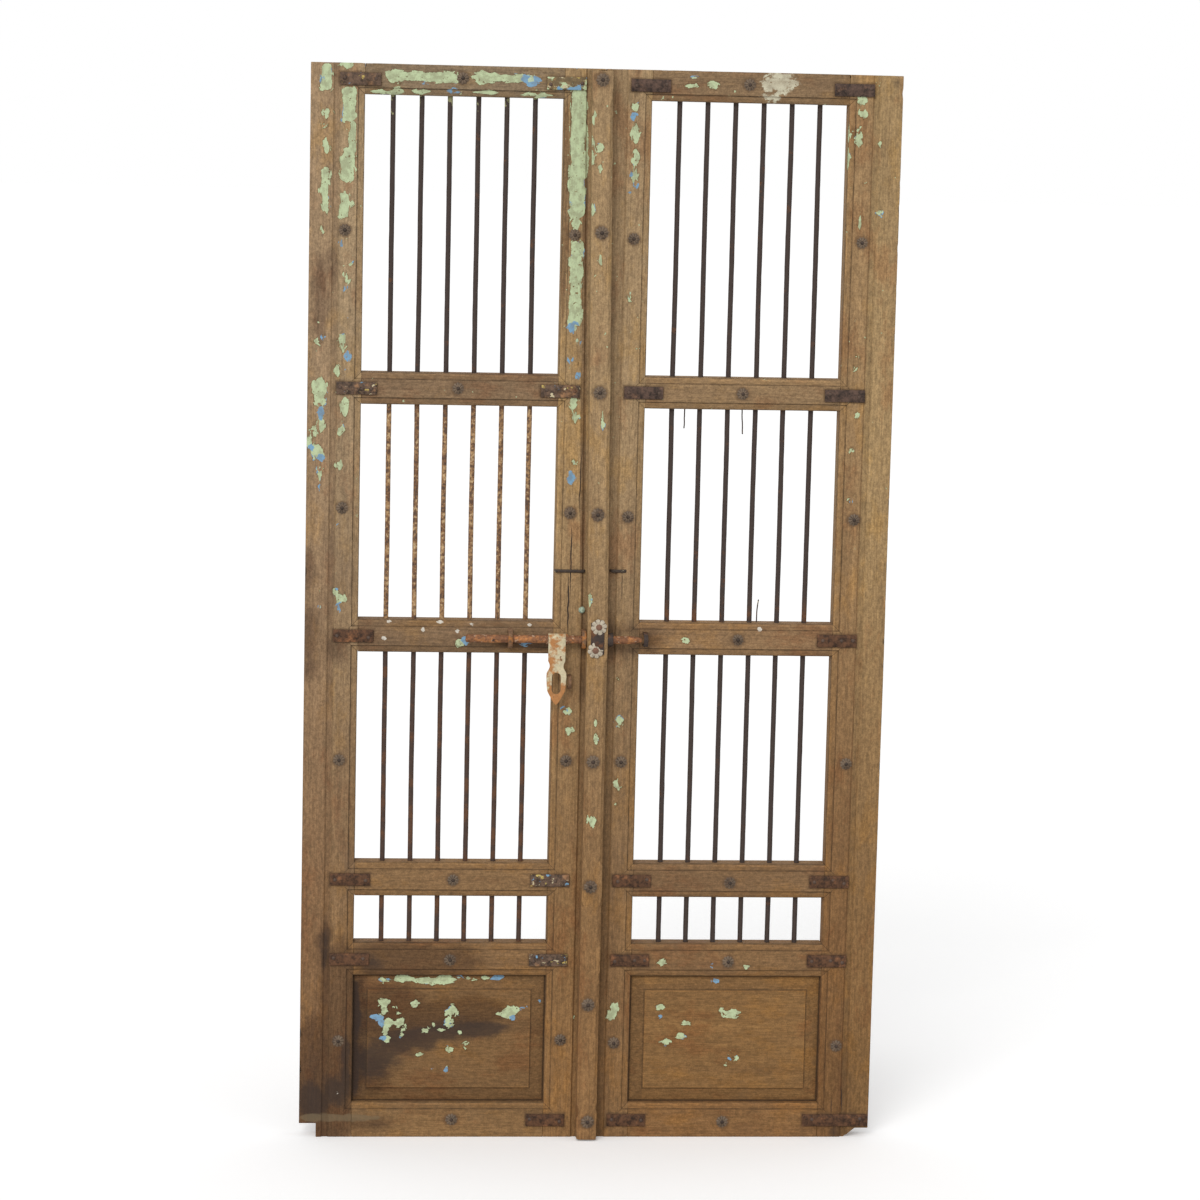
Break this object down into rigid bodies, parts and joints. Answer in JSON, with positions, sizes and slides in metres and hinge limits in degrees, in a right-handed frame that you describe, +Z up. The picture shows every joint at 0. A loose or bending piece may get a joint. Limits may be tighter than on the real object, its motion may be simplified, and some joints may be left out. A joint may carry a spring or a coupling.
{
  "type": "pair of jali doors",
  "caption": "Pair of old framed wooden door leaves with iron bars in the openings, raised panels below, a cover strip on the joint, and a sliding bolt with a hasp.",
  "frame": {"origin": "middle of the pair's width and depth, at the floor line", "axes": "+Z up, +X to the right seen from the front, -Y out of the front face that carries the bolt"},
  "size_m": [1.09, 0.0782, 2.02],
  "materials": {
    "aged_wood": "weathered, with remains of pale green and blue paint",
    "dark_iron": "dark and worn",
    "rusted_iron": "rusted",
    "painted_iron": "worn cream paint over rust"
  },
  "bodies": {
    "left_leaf": {"left_hanging_stile": "aged_wood", "left_meeting_stile": "aged_wood", "left_bottom_rail": "aged_wood", "left_panel_rail": "aged_wood", "left_lower_rail": "aged_wood", "left_lock_rail": "aged_wood", "left_cross_rail": "aged_wood", "left_top_rail": "aged_wood", "left_panel": "aged_wood", "left_bar_1": "dark_iron", "left_bar_2": "dark_iron", "left_bar_3": "dark_iron", "left_bar_4": "dark_iron", "left_bar_5": "dark_iron", "left_bar_6": "dark_iron", "left_strap_top_rail_outer": "dark_iron", "left_strap_cross_rail_outer": "dark_iron", "left_strap_lock_rail_outer": "dark_iron", "left_strap_lower_rail_outer": "dark_iron", "left_strap_panel_rail_outer": "dark_iron", "left_strap_top_rail_inner": "dark_iron", "left_strap_cross_rail_inner": "dark_iron", "left_strap_lower_rail_inner": "dark_iron", "left_strap_panel_rail_inner": "dark_iron", "left_strap_bottom_rail_inner": "dark_iron", "astragal": "aged_wood", "bolt_ferrule": "dark_iron", "bolt_cover": "dark_iron", "outer_guide_staple": "rusted_iron", "inner_guide_staple": "rusted_iron", "lock_staple": "rusted_iron"},
    "right_leaf": {"right_hanging_stile": "aged_wood", "right_meeting_stile": "aged_wood", "right_bottom_rail": "aged_wood", "right_panel_rail": "aged_wood", "right_lower_rail": "aged_wood", "right_lock_rail": "aged_wood", "right_cross_rail": "aged_wood", "right_top_rail": "aged_wood", "right_panel": "aged_wood", "right_bar_1": "dark_iron", "right_bar_2": "dark_iron", "right_bar_3": "dark_iron", "right_bar_4": "dark_iron", "right_bar_5": "dark_iron", "right_bar_6": "dark_iron", "right_strap_top_rail_outer": "dark_iron", "right_strap_cross_rail_outer": "dark_iron", "right_strap_lock_rail_outer": "dark_iron", "right_strap_lower_rail_outer": "dark_iron", "right_strap_panel_rail_outer": "dark_iron", "right_strap_bottom_rail_outer": "dark_iron", "right_strap_top_rail_inner": "dark_iron", "right_strap_cross_rail_inner": "dark_iron", "right_strap_lower_rail_inner": "dark_iron", "right_strap_panel_rail_inner": "dark_iron", "right_strap_bottom_rail_inner": "dark_iron", "keeper_staple": "rusted_iron"},
    "bolt": {"bolt_rod": "rusted_iron"},
    "hasp": {"hasp": "painted_iron"}
  },
  "joints": [
    {"name": "right_leaf_swing", "type": "hinge", "parent": "left_leaf", "child": "right_leaf", "pos_m": [0.515, 0.01915, 0], "axis": [0, 0, -1], "range_deg": [0, 110]},
    {"name": "bolt_slide", "type": "slide", "parent": "left_leaf", "child": "bolt", "axis": [1, 0, 0], "range_m": [-0.062, 0.026]},
    {"name": "hasp_swing", "type": "hinge", "parent": "bolt", "child": "hasp", "pos_m": [-0.0753, -0.01785, 0.96425], "axis": [-1, 0, 0], "range_deg": [-11.3, 170]}
  ]
}
